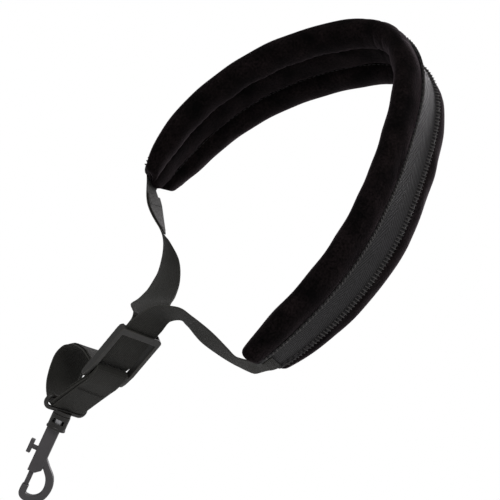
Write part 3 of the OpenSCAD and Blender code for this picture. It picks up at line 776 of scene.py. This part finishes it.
def web(name, frames, low, high, wide, node):
    """A woven strip with rounded selvedges and lengthwise ribs, between two heights off its middle."""
    n = 46
    rib_high, selvedge_high, inset = 0.045, 0.07, 0.05
    stops = [wide * (k / n - 0.5) for k in range(n + 1)]
    mid, half = (low + high) / 2, (high - low) / 2
    rings, cloth = [], []
    for (p, w, o), u in zip(frames, lengths(frames)):
        top, foot = [], []
        for v in stops:
            e = abs(v) / (wide / 2)
            body = math.sqrt(max(0.04, 1 - e ** 14))
            rib = rib_high * math.sin(2 * math.pi * v / WEB_RIB) + selvedge_high * bell(e, 0.94, 0.03)
            top.append(p + v * w + (mid + (half - inset) * body + rib) * o)
            foot.append(p + v * w + (mid - (half - inset) * body - rib) * o)
        rings.append(foot + top[::-1])
        cloth.append([(u, v, -1) for v in stops] + [(u, v, 1) for v in stops[::-1]])
    ob = loft(name, rings, cloth)
    dress(ob, WEBBING)
    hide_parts(node)
    return ob


def leg_lift(t, gap):
    """Height of a leg's middle over the pad's, when it clears the ribbon's raised edge by gap."""
    return ribbon_height(t, RIBBON_MID - RIBBON_WIDE / 2, RIBBON_THICK) + WEB_THICK / 2 + gap


RIGHT_LIFT = leg_lift(STATIONS, 0.15)
# The two legs lie one on the other behind the top bar.
RIGHT_OFF, LEFT_OFF = RUN_Y - WEB_THICK / 2 - LAYER_GAP, RUN_Y + WEB_THICK / 2 + LAYER_GAP


def points(rows):
    """Rows of three numbers as vectors, so that lists of them can be joined to worked-out ones."""
    return [np.array(r, float) for r in rows]


# The middle line of each leg, from its sewn end to the slider, and the way its width points there.
right_way = [PAD_END[0] - 6 * PAD_RUN + (RIGHT_LIFT + 0.9) * PAD_END[2],
             PAD_END[0] + PAD_RUN + (RIGHT_LIFT - 1.2) * PAD_END[2]] + points([
                 [51.5, -98.3, 79], [45.5, -89.5, 77.8], [38, -82, 79.7], [27, -73.6, 83.6],
                 [17, -65, 88], [11, -58, 89.3], [5, -49.5, 84]]) + [
    strap_point([WEB_X + 0.3, RIGHT_OFF + 0.1, LEG_JOIN + 4]), strap_point([WEB_X, RIGHT_OFF, LEG_JOIN]),
    strap_point([WEB_X, RIGHT_OFF, LEG_CUT - 0.5])]
right_turn = [PAD_END[1], PAD_END[1]] + points([
    [0.84, 0.44, -0.3], [0.72, 0.62, -0.3], [0.55, 0.75, -0.38], [0.45, 0.77, -0.45],
    [0.5, 0.78, -0.35], [0.66, 0.66, -0.36], [0.88, 0.36, -0.3]]) + [STRAP_X, STRAP_X, STRAP_X]
left_way = [PAD_NEXT[0] + leg_lift(1, 1.0) * PAD_NEXT[2],
            PAD_FIRST[0] - PAD_START_RUN + leg_lift(0, -1.8) * PAD_FIRST[2]] + points([
    [36.6, 63, 142.6], [45, 54, 129], [49, 45, 118], [48, 32, 107], [39, 13, 97], [24, -9, 89.5]]) + [
    strap_point([11, 13, 88.4]), strap_point([4, 2, 89.4]), strap_point([WEB_X, -5.4, 87.6]),
    strap_point([WEB_X, LEFT_OFF + 0.25, LEG_JOIN + 2.2]), strap_point([WEB_X, LEFT_OFF, LEG_JOIN]),
    strap_point([WEB_X, LEFT_OFF, LEG_CUT - 0.5])]
left_turn = [PAD_NEXT[1], PAD_FIRST[1]] + points([
    [0.86, 0.5, -0.04], [0.62, 0.78, -0.03], [0.32, 0.93, -0.08], [0.1, 0.94, -0.3],
    [-0.2, 0.88, -0.42], [-0.55, 0.72, -0.4], [-0.84, 0.36, -0.36], [-0.95, 0.14, -0.24]]) + [
    strap_point([-1, -0.06, 0]), -STRAP_X, -STRAP_X, -STRAP_X]

WEB_STEPS = 14
right_frames = square_frames(curve(right_way, WEB_STEPS), curve(right_turn, WEB_STEPS))
left_frames = square_frames(curve(left_way, WEB_STEPS), curve(left_turn, WEB_STEPS))


PATCH_GAP = 0.2
PATCH_LOW, PATCH_HIGH = WEB_THICK / 2 + PATCH_GAP, WEB_THICK * 1.5 + PATCH_GAP

right_leg = web("webbing_right_leg", right_frames, -WEB_THICK / 2, WEB_THICK / 2, WEB_WIDE, "right_webbing")
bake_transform(right_leg)
left_leg = web("webbing_left_leg", left_frames, -WEB_THICK / 2, WEB_THICK / 2, WEB_WIDE, "left_webbing")
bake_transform(left_leg)
patch_frames = left_frames[int(WEB_STEPS * 1.6):WEB_STEPS * 3 + 2]
patch = web("webbing_left_patch", patch_frames, PATCH_LOW, PATCH_HIGH, WEB_WIDE - 1, "left_joining_patch")
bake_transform(patch)


def dashes(name, frames, spots, lift, radius, mat, node):
    """Stitches on a strip. Each spot is (place along the frames, across, direction, length)."""
    rows = []
    for at, v, along, length in spots:
        p, w, o = frames[min(max(int(round(at)), 0), len(frames) - 1)]
        t = np.cross(w, o)
        rows.append((p + v * w + lift * o, t if along else w, length))
    ob = beads(name, rows, radius)
    dress(ob, mat)
    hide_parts(node)
    return ob


def cross_rows(low, high, wide, pitch, length):
    """Two rows of stitches across a strip, at two places along it."""
    n = int(wide / pitch)
    return [(at, (k - (n - 1) / 2) * pitch, False, length) for at in (low, high) for k in range(n)]


BOX_PITCH, BOX_LONG, BOX_PROUD = 2.6, 1.9, 0.05
right_rows = cross_rows(6, 12, WEB_WIDE - 2, BOX_PITCH, BOX_LONG)
stitch = dashes("box_stitch_right", right_frames, right_rows, WEB_THICK / 2 + BOX_PROUD, 0.3, THREAD_TICK,
                "right_box_stitch")
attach(stitch, "pad")
left_rows = cross_rows(WEB_STEPS * 2.0, WEB_STEPS * 2.9, WEB_WIDE - 3, BOX_PITCH, BOX_LONG)
stitch = dashes("box_stitch_left", left_frames, left_rows, PATCH_HIGH + BOX_PROUD, 0.28, THREAD_GREY,
                "left_box_stitch")
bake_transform(stitch)

# The loop's middle, from its sewn end round the centre bar, through the eye and back up to the top bar:
# depth and height before the strap leans, then how far its width turns towards each.
loop_way = [[-4, 14.5, 0, 0], [-6.1, 22, 0, 0], [-8.8, 31.5, 0, 0], [BAR_Y + FOLD - 0.9, BAR_Z - 4, 0, 0],
            [BAR_Y + FOLD, BAR_Z, 0, 0], [BAR_Y + FOLD_HALF, BAR_Z + FOLD_HALF, 0, 0],
            [BAR_Y, BAR_Z + FOLD, 0, 0], [BAR_Y - FOLD_HALF, BAR_Z + FOLD_HALF, 0, 0],
            [BAR_Y - FOLD, BAR_Z, 0, 0], [-11.9, 34, 0, 0], [-9.6, 26, 0, 0], [-6.4, 14, 0, 0],
            [-4.2, 5, 0, 0], [-2.75, -1.0, 0, 0], [0, -3.3, 0, 0], [4.5, -3.3, 0, 0], [12.4, -1.8, 0, 0],
            [19.6, 1.6, 0, 0], [25.8, 7, -0.06, 0], [29.6, 13.4, -0.14, 0], [30.6, 21.4, -0.04, -0.02],
            [29, 26.8, 0.14, -0.1], [24.6, 30.6, 0.28, -0.18], [15, 35.3, 0.22, -0.14],
            [5.6, 37.8, 0.1, -0.05], [-1.4, 39.4, 0.02, 0], [-5.2, 44.6, 0, 0], [RUN_Y + 0.3, 52.5, 0, 0],
            [RUN_Y, 61, 0, 0], [RUN_Y, 69, 0, 0], [RUN_Y, LEG_CUT - 0.5, 0, 0]]
LOOP_STEPS = 10
# How far the back of the loop sags to one side, and how much further just behind the slider.
LOOP_SAG, SLIDER_SAG = 1.2, 1.7
loop_points = curve(loop_way, LOOP_STEPS)


def loop_x(i, p):
    """The strip follows the slider sideways, and its back part sags a little to one side."""
    follow = min(WEB_X, max(0, p[1] * WEB_X / SLIDER_FOOT))
    back_part = math.exp(-((i / LOOP_STEPS - 21.5) / 4.4) ** 4)
    behind_slider = bell(i / LOOP_STEPS, 25, 1.5)
    return follow + LOOP_SAG * back_part + SLIDER_SAG * behind_slider


loop_frames = square_frames(
    [strap_point([loop_x(i, p), p[0], p[1]]) for i, p in enumerate(loop_points)],
    [strap_point([1, p[2], p[3]]) for p in loop_points])


def slipped(frames, far):
    """The two layers lie a little to either side of each other, away from the slider."""
    return [(p + far * math.exp(-((i / LOOP_STEPS - 17) / 7.2) ** 6) * w, w, o)
            for i, (p, w, o) in enumerate(frames)]


OUTER_FACE = LAYER_GAP + WEB_THICK
# The zigzag of stitches across the front panel: where it is, how far it swings, and its stitches.
TACK_AT, TACK_SWING = 10.3 * LOOP_STEPS, 1.2
TACK_COUNT, TACK_PITCH, TACK_LONG = 35, 0.62, 1.7
tack_spots = [(TACK_AT + (k % 2) * TACK_SWING, (k - TACK_COUNT // 2) * TACK_PITCH, True, TACK_LONG)
              for k in range(TACK_COUNT)]
for piece in (
        web("webbing_loop_inner", slipped(loop_frames, -1.1), -OUTER_FACE, -LAYER_GAP, WEB_WIDE,
            "loop_inner_webbing"),
        web("webbing_loop_outer", slipped(loop_frames, 1.3), LAYER_GAP, OUTER_FACE, WEB_WIDE,
            "loop_outer_webbing"),
        dashes("bar_tack", loop_frames, tack_spots, OUTER_FACE + 0.02, 0.16, THREAD_GREY, "loop_bar_tack")):
    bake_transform(piece)


# ---------------------------------------------------------------- moulded parts
def moulded(name, node, voxel, rounds, mat, body):
    """A copy of a CAD part, remeshed at the voxel size and smoothed, so that its edges round off."""
    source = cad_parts[node]
    ob = bpy.data.objects.new(name, source.data.copy())
    bpy.context.scene.collection.objects.link(ob)
    b = bmesh.new()
    b.from_mesh(ob.data)
    bmesh.ops.remove_doubles(b, verts=b.verts, dist=0.002 * MM)
    b.to_mesh(ob.data)
    b.free()
    m = ob.modifiers.new("remesh", "REMESH")
    m.mode = "VOXEL"
    m.voxel_size = voxel * MM
    s = ob.modifiers.new("soften", "SMOOTH")
    s.iterations = rounds
    s.factor = 0.5
    graph = bpy.context.evaluated_depsgraph_get()
    mesh = bpy.data.meshes.new_from_object(ob.evaluated_get(graph))
    ob.modifiers.clear()
    ob.data = mesh
    for p in mesh.polygons:
        p.use_smooth = True
    dress(ob, mat, body)
    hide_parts(node)


moulded("slider_moulding", "slider_frame", 0.3, 5, SLIDER_MAT, "slider")
moulded("eye_moulding", "swivel_eye", 0.22, 3, COLLAR_MAT, "eye")
moulded("collar_moulding", "swivel_collar", 0.2, 3, COLLAR_MAT, "hook")
moulded("hook_moulding", "hook_body", 0.22, 4, HOOK_MAT, "hook")
moulded("tab_moulding", "thumb_tab", 0.17, 4, HOOK_MAT, "gate")
moulded("bolt_moulding", "gate_bolt", 0.17, 3, HOOK_MAT, "gate")


def spring():
    """The coil: a steel copy of the frame's spring, baked where it stands."""
    ob = bpy.data.objects.new("coil_spring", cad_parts["gate_spring"].data.copy())
    bpy.context.scene.collection.objects.link(ob)
    dress(ob, STEEL)
    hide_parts("gate_spring")
    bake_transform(ob)


spring()

for name in ("swivel_pin", "body_plug"):
    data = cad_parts[name].data
    data.materials.clear()
    data.materials.append(STEEL)


# ---------------------------------------------------------------- floor, light and camera
FLOOR_RADIUS, FLOOR_DROP = 0.75, 0.22


def pale_floor():
    m, tree, bsdf = tree_of("pale_floor")
    pale = ramp(tree, noise(tree, 3, 2), (0.86, 0.86, 0.86), (0.9, 0.9, 0.9))
    tree.links.new(pale, bsdf.inputs["Base Color"])
    bsdf.inputs["Roughness"].default_value = 0.9
    sides = 48
    turns = [2 * math.pi * k / sides for k in range(sides)]
    verts = [(0, 0, 0)] + [(FLOOR_RADIUS * math.cos(g), FLOOR_RADIUS * math.sin(g), 0) for g in turns]
    mesh = bpy.data.meshes.new("floor")
    mesh.from_pydata(verts, [], [(0, k + 1, (k + 1) % sides + 1) for k in range(sides)])
    mesh.materials.append(m)
    ob = bpy.data.objects.new("floor", mesh)
    ob.location = (0.03, -0.02, cad_box[0][2] - FLOOR_DROP)
    bpy.context.scene.collection.objects.link(ob)


pale_floor()


def soft_light(name, place, size, power, colour):
    """Round area light that faces the middle of the strap."""
    light = bpy.data.lights.new(name, "AREA")
    light.shape = "DISK"
    light.size = size
    light.energy = power
    light.color = colour
    ob = bpy.data.objects.new(name, light)
    ob.location = place
    ob.rotation_euler = (Vector(CENTRE) - Vector(place)).to_track_quat("-Z", "Y").to_euler()
    bpy.context.scene.collection.objects.link(ob)


CENTRE = (0.05, -0.02, 0.13)
soft_light("key", (-0.6, -0.9, 1.4), 0.9, 10, (1, 0.985, 0.96))
soft_light("fill", (0.7, -1.4, 0.5), 1.2, 3, (1, 1, 1))
soft_light("rim", (1.15, 0.53, 0.62), 0.9, 12, (1, 0.97, 1))

# The world is white to the camera and dimmer as a light.
WORLD_LIGHT, WORLD_SEEN = 0.4, 1.0
world = bpy.data.worlds.new("studio")
bpy.context.scene.world = world
world.use_nodes = True
tree = world.node_tree
background = tree.nodes["Background"]
background.inputs["Color"].default_value = (1, 1, 1, 1)
path = tree.nodes.new("ShaderNodeLightPath")
strength = tree.nodes.new("ShaderNodeMix")
strength.inputs["A"].default_value = WORLD_LIGHT
strength.inputs["B"].default_value = WORLD_SEEN
tree.links.new(path.outputs["Is Camera Ray"], strength.inputs["Factor"])
tree.links.new(strength.outputs["Result"], background.inputs["Strength"])
bpy.context.scene.view_settings.view_transform = "Standard"

# The camera looks along the photograph's direction, rolled a little to one side.
CAMERA_PLACE, CAMERA_LENS, CAMERA_SENSOR = (-0.4665, -0.7439, 0.1626), 95.04, 36
right, up, back = unit([0.735, -0.531, 0.419]), unit([-0.326, 0.264, 0.906]), unit([-0.594, -0.8025, 0.021])
up = unit(up - np.dot(up, back) * back)
right = np.cross(up, back)
camera = bpy.data.objects.new("camera", bpy.data.cameras.new("camera"))
camera.data.lens = CAMERA_LENS
camera.data.sensor_width = CAMERA_SENSOR
camera.data.clip_start = 0.05
camera.data.clip_end = 20
camera.matrix_world = Matrix([[*row] for row in zip(right, up, back, CAMERA_PLACE)] + [[0, 0, 0, 1]])
bpy.context.scene.collection.objects.link(camera)
bpy.context.scene.camera = camera
